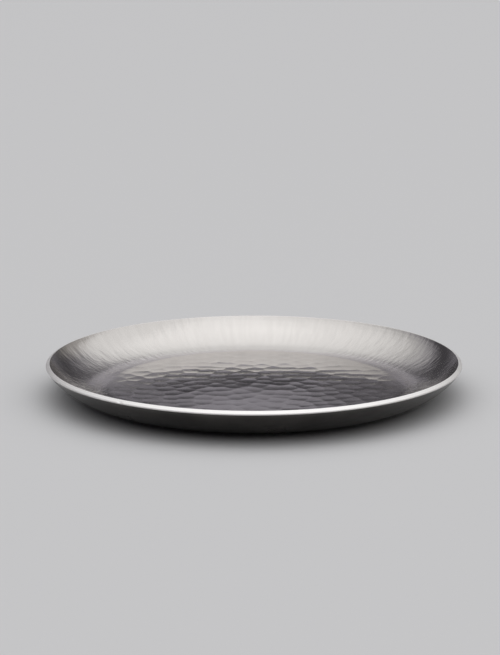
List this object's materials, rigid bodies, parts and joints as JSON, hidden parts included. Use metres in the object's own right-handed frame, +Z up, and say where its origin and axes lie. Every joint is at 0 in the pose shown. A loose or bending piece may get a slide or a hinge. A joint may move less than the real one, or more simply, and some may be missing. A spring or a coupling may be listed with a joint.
{
  "type": "thali plate",
  "caption": "Round shallow metal plate with a hammered flat floor, a wall that curves up to the rim in one arc and a thick square-cut rim, for a meal.",
  "frame": {"origin": "centre of the flat base, on the surface that the plate stands on", "axes": "+Z up along the plate's axis; the plate is a body of revolution, so +X and +Y are free"},
  "size_m": [0.305, 0.305, 0.025],
  "materials": {
    "plate_metal": "hammered floor, satin brushed wall"
  },
  "bodies": {
    "root": {"plate": "plate_metal"}
  },
  "joints": []
}
